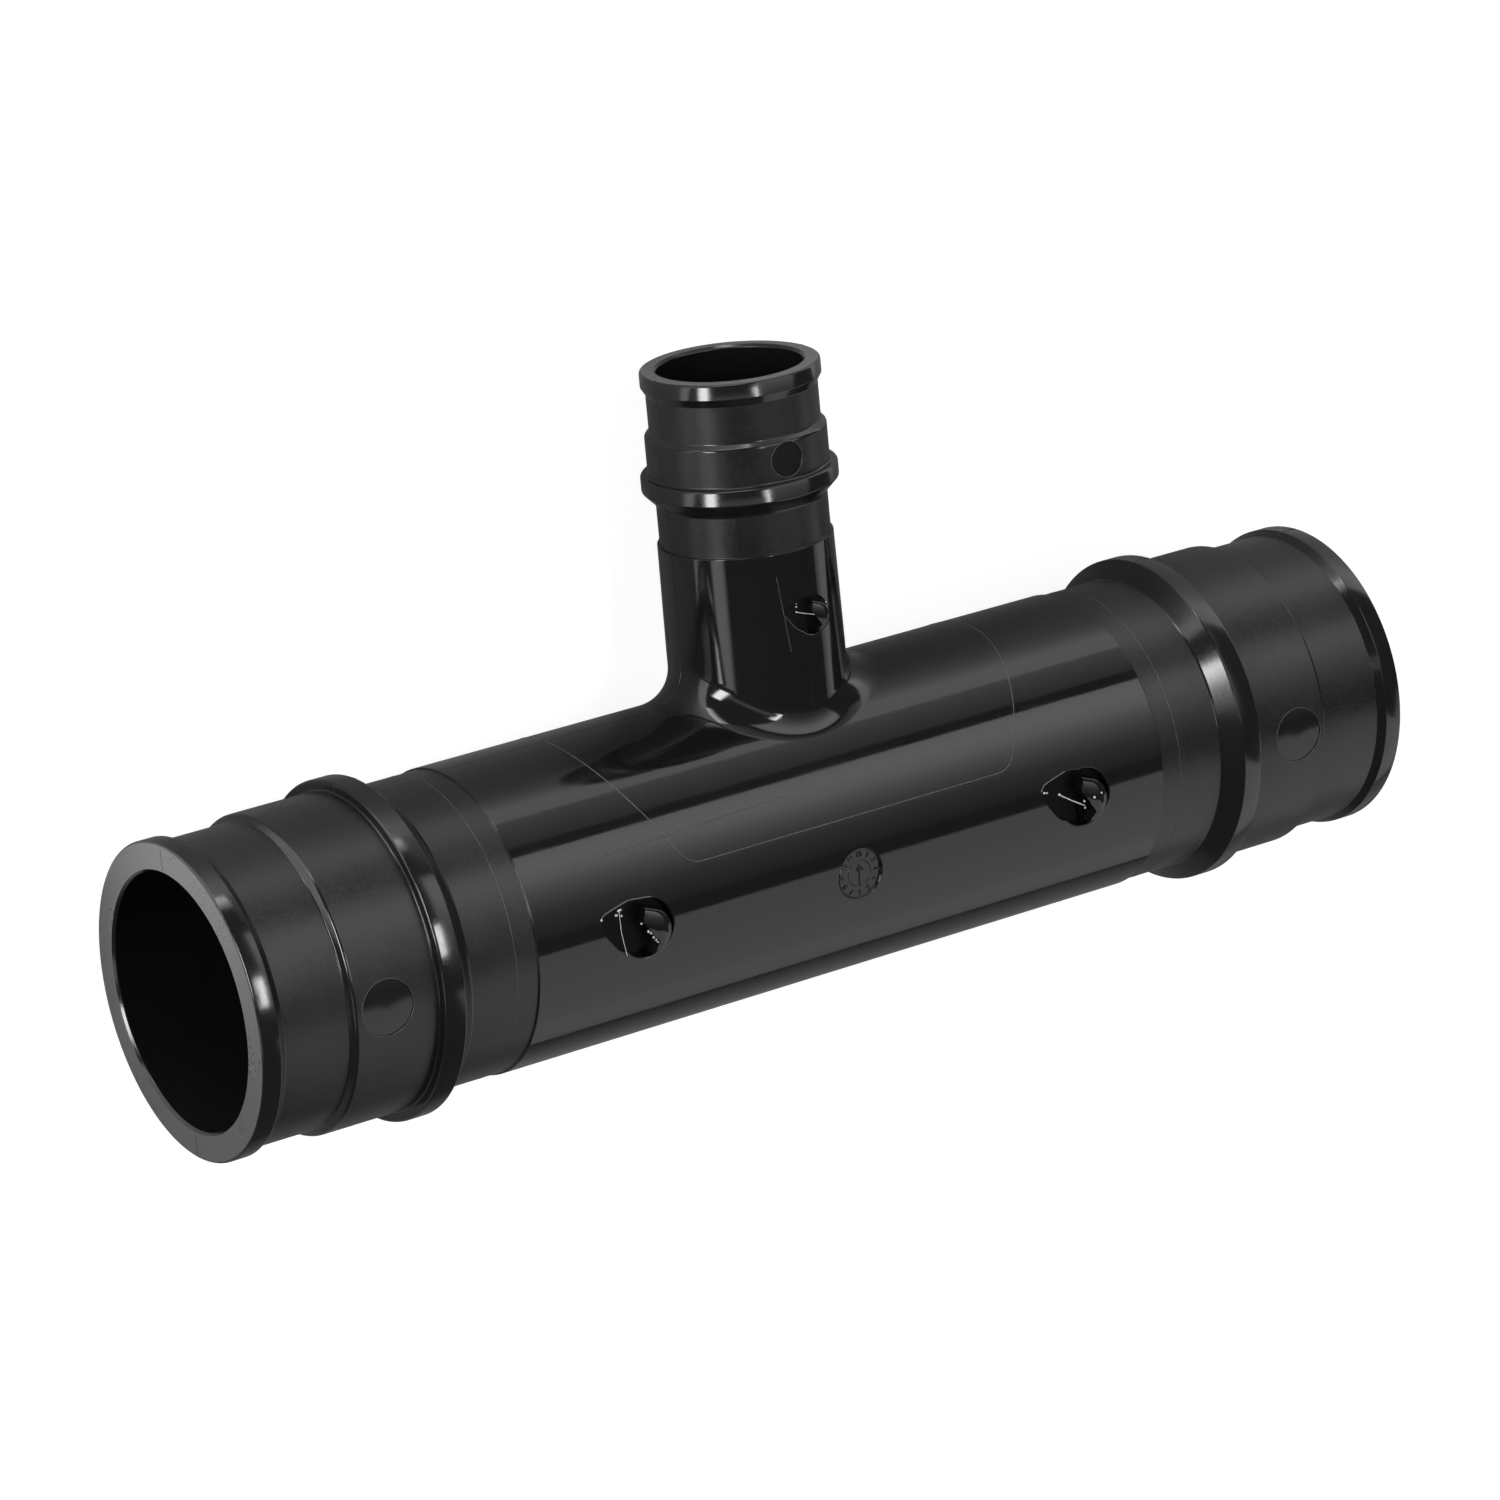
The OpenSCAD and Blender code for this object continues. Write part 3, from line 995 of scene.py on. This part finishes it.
class Tree:
    """A node tree that is written as calls."""

    def __init__(self, tree):
        self.tree = tree

    def add(self, kind, settings=None, values=None):
        node = self.tree.nodes.new(kind)
        for name, value in (settings or {}).items():
            setattr(node, name, value)
        items = enumerate(values) if isinstance(values, list) else (values or {}).items()
        for name, value in items:
            if isinstance(value, Wire):
                self.tree.links.new(value.socket, node.inputs[name])
            else:
                node.inputs[name].default_value = value
        return {s.name: Wire(self, s) for s in node.outputs if s.enabled}

    def mix(self, factor, first, second):
        """A colour between two others. Each is four numbers or a wire."""
        self.add("ShaderNodeMix", {"data_type": "RGBA"}, {"Factor": factor, 6: first, 7: second})
        return Wire(self, self.tree.nodes[-1].outputs[2])

    def link(self, wire, node, name):
        self.tree.links.new(wire.socket, node.inputs[name])


def new_material(name):
    material = bpy.data.materials.new(name)
    material.use_nodes = True
    shader = material.node_tree.nodes["Principled BSDF"]
    return material, Tree(material.node_tree), shader


def plastic(name, color, lighter, roughness, spread, grain_size, grain_height, wave_height):
    """Black plastic: colour and roughness drift a little, with fine grain on slow waves.
    lighter is how many times lighter the lightest specks of the grain are."""
    material, tree, shader = new_material(name)
    place = tree.add("ShaderNodeTexCoord")["Object"]
    cloud = tree.add("ShaderNodeTexNoise", None, {"Vector": place, "Scale": 90.0, "Detail": 5.0})
    grain = tree.add("ShaderNodeTexNoise", None, {"Vector": place, "Scale": 1 / grain_size, "Detail": 3.0})
    wave = tree.add("ShaderNodeTexNoise", None, {"Vector": place, "Scale": 140.0, "Detail": 1.0})
    drift = cloud["Fac"].ramp(0.3, 0.7)
    speck = grain["Fac"].ramp(0.38, 0.66)
    tree.link(drift * (spread / 2) + speck * (spread / 2) + (roughness - spread / 2), shader, "Roughness")
    light = [c * lighter for c in color]
    tree.link(tree.mix(drift * 0.35 + speck * 0.65, (*color, 1), (*light, 1)), shader, "Base Color")
    bump = tree.add("ShaderNodeBump", None, {
        "Strength": 1.0, "Distance": MM, "Height": grain["Fac"] * grain_height + wave["Fac"] * wave_height})
    tree.link(bump["Normal"], shader, "Normal")
    shader.inputs["IOR"].default_value = 1.5
    return material


# Name, colour, how much lighter its specks are, roughness and its spread, size of the grain in
# metres, and the heights of grain and waves
GLOSS = plastic("polished_black", (0.005, 0.005, 0.0053), 1.4, 0.08, 0.06, 0.0004, 0.0005, 0.013)
BAND = plastic("rubbed_black", (0.006, 0.006, 0.0063), 1.4, 0.14, 0.05, 0.0004, 0.003, 0.004)
SATIN = plastic("textured_black", (0.003, 0.003, 0.0032), 3.5, 0.34, 0.12, 0.0005, 0.011, 0.010)
# End faces: a rougher finish, with the colour painted lighter than the black plastic as painted light for the
# light they catch
FACE = plastic("trimmed_face_painted_lighter", (0.06, 0.06, 0.06), 1.3, 0.3, 0.06, 0.0004, 0.001, 0.004)
# Raised lines: colour painted lighter, as painted highlights on their round edges
LINE_PAINTED_HIGHLIGHT = plastic("raised_line_painted_highlight", (0.05, 0.05, 0.05), 1.4, 0.3, 0.1, 0.0004, 0.01, 0.01)
# Gate pockets: a darker colour and weak reflection paint the shade in these recesses
POCKET_PAINTED_SHADE = plastic("pocket_painted_shade", (0.002, 0.002, 0.002), 1.4, 0.5, 0.1, 0.0003, 0.02, 0.01)
POCKET_PAINTED_SHADE.node_tree.nodes["Principled BSDF"].inputs["Specular IOR Level"].default_value = 0.12
# Torn lumps and ridges at the gates: pale grey colour as painted highlights on them
TORN_PAINTED_HIGHLIGHT = plastic("torn_plastic_painted_highlight", (0.5, 0.5, 0.5), 1.4, 0.3, 0.1, 0.0002, 0.02, 0.01)
# Curled rims of the gates: colour painted lighter as painted highlights along them
RIM_PAINTED_HIGHLIGHT = plastic("rim_painted_highlight", (0.06, 0.06, 0.06), 1.4, 0.25, 0.1, 0.0003, 0.01, 0.01)
TEE_FINISHES = [GLOSS, SATIN, POCKET_PAINTED_SHADE, FACE, BAND]


def paint_tee(tee):
    """The mould was polished along the bodies and left textured on the spigots."""
    mesh = tee.data
    mesh.materials.clear()
    for finish in TEE_FINISHES:
        mesh.materials.append(finish)
    for face in mesh.polygons:
        face.material_index = TEE_FINISHES.index(finish_of(face.center, face.normal))


def finish_of(c, n):
    """The finish of a face, from its middle and its normal."""
    skin, level, margin, steep = 0.02, 0.2, 0.1, 0.25
    # Gate pockets get the painted shade
    if in_gate(c):
        return POCKET_PAINTED_SHADE
    # End faces get their colour painted lighter, as painted light
    if abs(c.x) > RUN_HALF - skin or c.z > BRANCH_REACH - skin:
        return FACE
    radius, round_branch = math.hypot(c.y, c.z), math.hypot(c.x, c.y)
    past_run, past_branch = abs(c.x) > RUN_BODY_HALF, c.z > BRANCH_BODY_TOP
    run_lip = radius > RUN_LIP - level and abs(c.x) > RUN_HALF - RUN_LIP_WIDTH - margin
    branch_lip = round_branch > BRANCH_LIP - level and c.z > BRANCH_REACH - BRANCH_LIP_WIDTH - margin
    on_run_band = past_run and (radius > RUN_STOP - level or run_lip)
    on_branch_band = past_branch and (round_branch > BRANCH_STOP - level or branch_lip)
    leans = abs(n.x if past_run else n.z) > steep
    if on_run_band or on_branch_band or (leans and (past_run or past_branch)):
        return BAND
    if abs(c.x) < RUN_BODY_HALF + skin and (c.z < BRANCH_BODY_TOP + skin or abs(c.x) > RUN_BODY):
        return GLOSS
    run_mark = (math.hypot(abs(c.x) - RUN_EJECTOR_AT, c.z + GATE_DROP) < RUN_EJECTOR
                and radius < RUN_SEAT - EJECTOR_DEPTH / 2)
    branch_mark = (math.hypot(c.x, c.z - BRANCH_EJECTOR_AT) < BRANCH_EJECTOR
                   and round_branch < BRANCH_SEAT - EJECTOR_DEPTH / 2)
    return BAND if c.y < 0 and (run_mark or branch_mark) else SATIN


def in_gate(c):
    """Whether a point is on the wall or the floor of a gate's pocket."""
    beyond, least, most = 2, 0.45, 2.2
    for name, place, scale, front, reach in gates():
        x, z = gate_place(place, scale, 0, 0)
        if c.y < 0 and math.hypot(c.x - x, c.z - z) < GATE_TIP_AT * scale + beyond:
            if least * scale < c.y - front(c.x, c.z)[0] < most * scale:
                return True
    return False


# What is torn at each gate, across, up and out from the middle of its pocket: a ridge, the places of small
# lumps, and the stretches of the rim that curl up, in degrees. All of them are painted lighter, as painted
# highlights.
GATE_RIDGES = {
    "left_gate": [(-4.8, 3.9, 0.1), (-4.55, 0.4, -0.2), (-4.0, -3.5, -0.1)],
    "right_gate": [(-4.9, 1.6, 0.1), (-2.8, 0.2, 0.3), (-0.6, -1.1, 0.5)],
    "branch_gate": [(-4.9, 1.7, 0.1), (-2.8, 1.0, 0.3), (-0.2, 0.2, 0.5)],
}
RIDGE_RADIUS = {"left_gate": 0.05, "right_gate": 0.1, "branch_gate": 0.1}
GATE_LUMPS = {
    "left_gate": [
        (-4.84, 4.05, 0.1), (-4.5, 4.1, 0.1), (-5.3, 3.45, 0.1), (-4.4, 3.1, 0),
        (-7.9, 3.3, 0), (-1.0, 1.0, 0), (-0.2, -0.4, 0.4), (0.15, -0.7, 0.5),
        (0.55, -1.5, 0.5), (1.0, -2.0, 0.4), (1.25, -2.4, 0.4),
    ],
    "right_gate": [
        (-0.6, -0.4, 0.5), (-0.5, -1.5, 0.4), (1.1, -0.1, 0.9), (1.2, -1.4, 0.6),
        (2.6, 0.2, 0.7), (-7.7, 2.6, 0), (-7.2, 2.5, 0), (-5.0, 1.7, 0.1),
    ],
    "branch_gate": [
        (-5.0, 1.8, 0.1), (-4.9, 3.0, 0.1), (-4.8, 3.7, 0.1),
        (0.0, 0.2, 0.6), (1.7, 0.3, 0.7), (3.2, 2.4, 0.3),
    ],
}
GATE_CURLS = {
    "left_gate": [(75, 140), (-100, -12)],
    "right_gate": [(100, 165), (-75, -20)],
    "branch_gate": [(180, 265), (20, 60)],
}


def gate_tears():
    """What is torn at the gates: curls along the rims, and small lumps with a ridge each, in light colours
    that are painted highlights.
    """
    steps = 30
    found, lumps, lines = [], [], []
    for seed, (name, place, scale, front, reach) in enumerate(gates()):
        middle = gate_place(place, scale, 0, 0)
        lumps += tear(name, middle, scale, GATE_LUMPS[name], reach, seed)
        ridge = [in_pocket(middle, scale, reach, *spot) for spot in GATE_RIDGES[name]]
        lines.append(beads("ridge", [ridge], RIDGE_RADIUS[name] * scale, TORN_PAINTED_HIGHLIGHT))
        circles = gate_circles(place, scale)
        curls = []
        for start, end in GATE_CURLS[name]:
            angles = [math.radians(start + (end - start) * i / steps) for i in range(steps + 1)]
            around = [hull_outline(circles, angle) for angle in angles]
            curls.append([on_front(front, *(spot + 0.2 * scale * ray)) for spot, ray in around])
        found.append(beads(name + "_curls", curls, 0.13 * scale, RIM_PAINTED_HIGHLIGHT))
    found.append(join_meshes("gate_tears", lumps + [line.data for line in lines], TORN_PAINTED_HIGHLIGHT))
    for line in lines:
        bpy.data.objects.remove(line)
    return found


def make_marks():
    """Lines and marks that the mould left: each is a thin raised piece."""
    found = [
        # The witness line, ejector rims and tool lines are painted lighter, as painted highlights on their
        # edges
        beads("insert_witness_line", insert_line(0.05), 0.11, LINE_PAINTED_HIGHLIGHT),
        beads("parting_line", parting_paths(), 0.075, GLOSS),
        date_dial(GLOSS),
    ]
    sunk = 0.03
    rings = [ring_on_cylinder((side * RUN_EJECTOR_AT, -GATE_DROP), RUN_EJECTOR, RUN_SEAT - sunk, "X")
             for side in (-1, 1)]
    rings.append(ring_on_cylinder((0, BRANCH_EJECTOR_AT), BRANCH_EJECTOR, BRANCH_SEAT - sunk, "Z"))
    found.append(beads("ejector_rims", rings, 0.07, LINE_PAINTED_HIGHLIGHT))
    found.append(beads("tool_lines", tool_paths(), 0.06, LINE_PAINTED_HIGHLIGHT))
    return found + gate_tears()


# Studio

def make_floor():
    """A pale bench. The camera sees it white, apart from the fitting's soft shadow."""
    half, height = 4.0, cad_low.z
    corners = [(-half, -half, height), (half, -half, height), (half, half, height), (-half, half, height)]
    floor = build_mesh("bench", corners, [(0, 1, 2, 3)], closed=False)
    material, tree, shader = new_material("pale_bench")
    shader.inputs["Base Color"].default_value = (0.35, 0.35, 0.35, 1)
    shader.inputs["Roughness"].default_value = 1.0
    shader.inputs["Specular IOR Level"].default_value = 0.0
    rays = tree.add("ShaderNodeLightPath")
    place = tree.add("ShaderNodeTexCoord")["Object"]
    flat = tree.add("ShaderNodeSeparateXYZ", None, {"Vector": place})
    squeezed = tree.add("ShaderNodeVectorMath", {"operation": "MULTIPLY"}, [place, (0.6, 1, 0)])
    away = tree.add("ShaderNodeVectorMath", {"operation": "LENGTH"}, [squeezed["Vector"]])
    # Painted glow, for reflections and the light it gives: the bench glows behind the fitting and by its left
    # end, with painted shade close to the fitting and in front
    glow = away["Value"].ramp(0.04, 0.2) * flat["Y"].ramp(-0.02, 0.12) * 0.6
    glow = glow + (flat["X"] * -1).ramp(0.1, 0.125) * flat["Y"].ramp(-0.04, 0.02) * 0.7
    painted_glow_colour = tree.mix(glow, (0, 0, 0, 1), (2, 2, 2, 1))
    seen = tree.mix(rays["Is Camera Ray"], painted_glow_colour, (0.88, 0.88, 0.88, 1))
    tree.link(seen, shader, "Emission Color")
    shader.inputs["Emission Strength"].default_value = 1.0
    floor.data.materials.append(material)


def softbox(name, centre, across, up, strength):
    """A glowing panel. Its centre and two half sides are given round the upright fitting.
    strength holds its brightness from one end of the second side to the other."""
    most = 10
    centre, across, up = Vector(centre), Vector(across), Vector(up)
    corners = [centre - across - up, centre + across - up, centre + across + up, centre - across + up]
    panel = build_mesh(name, corners, [(0, 1, 2, 3)], closed=False)
    material = bpy.data.materials.new(name)
    material.use_nodes = True
    material.node_tree.nodes.clear()
    tree = Tree(material.node_tree)
    place = tree.add("ShaderNodeTexCoord")["Object"]
    low = ON_BENCH @ (centre - up) * MM
    side = (ON_BENCH.to_3x3() @ up) * MM * 2
    along = tree.add("ShaderNodeVectorMath", {"operation": "DOT_PRODUCT"},
                     [place, tuple(side / side.length_squared)])["Value"]
    along = along - low.dot(side) / side.length_squared
    ramp = tree.add("ShaderNodeValToRGB", None, {"Fac": along})
    stops = tree.tree.nodes[-1].color_ramp
    for i, (position, value) in enumerate(strength):
        stop = stops.elements[i] if i < 2 else stops.elements.new(position)
        stop.position = position
        stop.color = (value / most, value / most, value / most, 1)
    glow = tree.add("ShaderNodeEmission", None, {"Color": ramp["Color"], "Strength": most})["Emission"]
    output = tree.tree.nodes.new("ShaderNodeOutputMaterial")
    tree.link(glow, output, "Surface")
    panel.data.materials.append(material)
    panel.data.transform(TO_FRAME)
    panel.visible_camera = False


def make_studio():
    world = bpy.data.worlds.new("studio")
    bpy.context.scene.world = world
    world.use_nodes = True
    tree = Tree(world.node_tree)
    background = world.node_tree.nodes["Background"]
    rays = tree.add("ShaderNodeLightPath")
    tree.link(rays["Is Camera Ray"] * 0.9 + 0.1, background, "Strength")
    background.inputs["Color"].default_value = (1, 1, 1, 1)
    # The bright table under the upright fitting
    table = [(0, 1.05), (0.65, 1.0), (0.9, 0.75), (1, 0.45)]
    softbox("low_panel", (640, -640, -520), (460, 0, 0), (0, 720, 0), table)
    # The graded box in front of it and above
    grade = [(0, 0.18), (0.135, 0.3), (0.26, 0.45), (0.39, 0.85),
             (0.51, 1.3), (0.64, 1.95), (0.79, 2.2), (1, 2.0)]
    softbox("front_box", (420, -642, 300), (420, 0, 0), (0, 88, 420), grade)
    softbox("sky_panel", (560, -275, 890), (500, 0, 0), (0, 165, 130), [(0, 0.35), (1, 0.9)])
    # Strips to both sides, which the branch shows as narrow upright bands
    strip = [(0, 0.3), (0.2, 2.1), (0.75, 1.9), (1, 0.3)]
    softbox("left_strip", (-1450, -472, -494), (0, 0, 200), (85, -262, 0), strip)
    softbox("right_strip", (1530, -385, -512), (0, 0, 200), (83, 331, 0), [(0, 0.5), (0.4, 1.1), (1, 0.8)])
    # Lamps, which give the rings, edges and the fillet their bright patches, and a dim one between
    spark = [(0, 1), (0.25, 20), (0.75, 20), (1, 1)]
    softbox("between_lamps", (-540, -858, 190), (540, -342, 0), (0, 0, 80), [(0, 0.8), (1, 0.8)])
    softbox("near_lamp", (120, -1150, 260), (0, 0, 200), (280, 0, 0), spark)
    softbox("side_lamp", (-1050, -420, 310), (0, 50, 280), (60, -150, 0), spark)
    flash = [(0, 0.5), (0.4, 8), (0.6, 8), (1, 0.5)]
    softbox("over_lamp", (-150, -150, 1150), (480, 0, 0), (0, 230, 0), flash)


make_camera()
tee = make_tee()
paint_tee(tee)
finish_mesh(tee)
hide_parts("tee")
for piece in make_marks():
    piece.data.transform(TO_FRAME)
    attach(piece, "root")
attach(tee, "root")

make_floor()
make_studio()
bpy.context.scene.view_settings.view_transform = "Standard"
